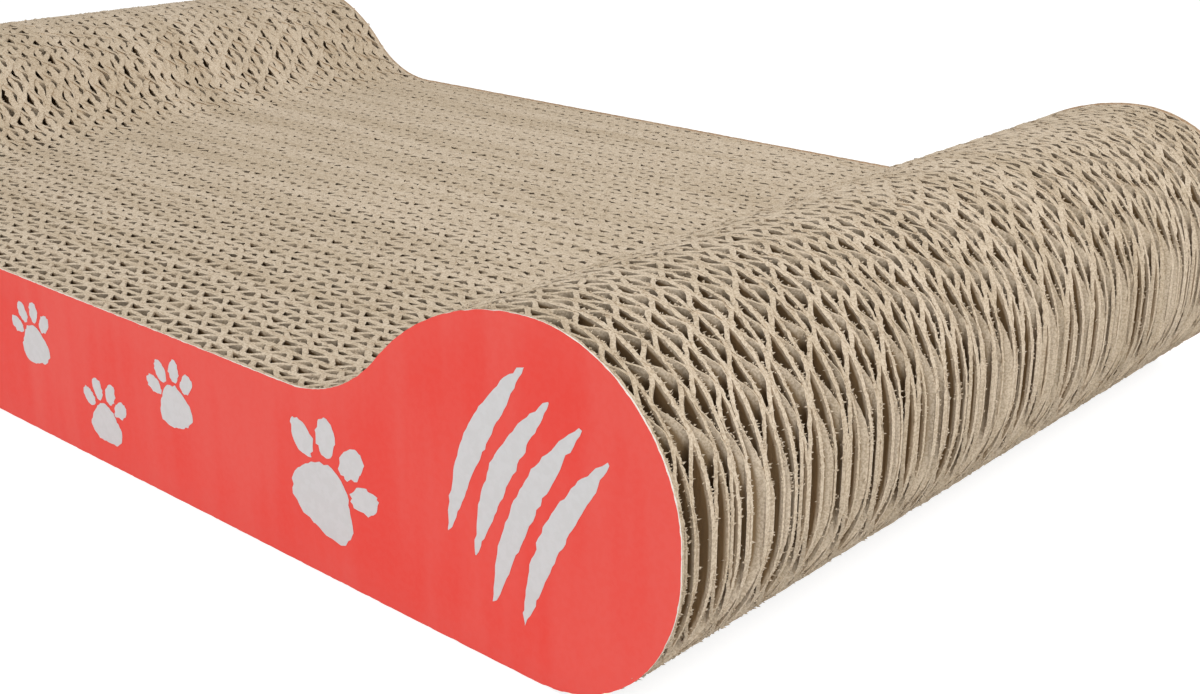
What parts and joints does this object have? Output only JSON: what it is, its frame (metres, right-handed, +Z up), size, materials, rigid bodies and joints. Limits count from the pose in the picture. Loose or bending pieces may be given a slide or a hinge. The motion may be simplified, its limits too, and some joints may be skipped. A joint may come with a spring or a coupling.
{
  "type": "cardboard cat scratcher",
  "caption": "Low free-standing lounge of corrugated boards on edge, with a flat middle slab, a rounded lobe at each end and printed side sheets.",
  "frame": {"origin": "centre of the flat underside, on the surface that the scratcher stands on", "axes": "+X along the length towards one lobe, +Y across the stack of boards away from the near cover, +Z up"},
  "size_m": [0.41, 0.2302, 0.0675],
  "materials": {
    "corrugated_board": "matte",
    "printed_cover": "satin"
  },
  "bodies": {
    "root": {"board_01": "corrugated_board", "board_02": "corrugated_board", "board_03": "corrugated_board", "board_04": "corrugated_board", "board_05": "corrugated_board", "board_06": "corrugated_board", "board_07": "corrugated_board", "board_08": "corrugated_board", "board_09": "corrugated_board", "board_10": "corrugated_board", "board_11": "corrugated_board", "board_12": "corrugated_board", "board_13": "corrugated_board", "board_14": "corrugated_board", "board_15": "corrugated_board", "board_16": "corrugated_board", "board_17": "corrugated_board", "board_18": "corrugated_board", "board_19": "corrugated_board", "board_20": "corrugated_board", "board_21": "corrugated_board", "board_22": "corrugated_board", "board_23": "corrugated_board", "board_24": "corrugated_board", "board_25": "corrugated_board", "board_26": "corrugated_board", "board_27": "corrugated_board", "board_28": "corrugated_board", "board_29": "corrugated_board", "board_30": "corrugated_board", "near_cover": "printed_cover", "far_cover": "printed_cover"}
  },
  "joints": []
}
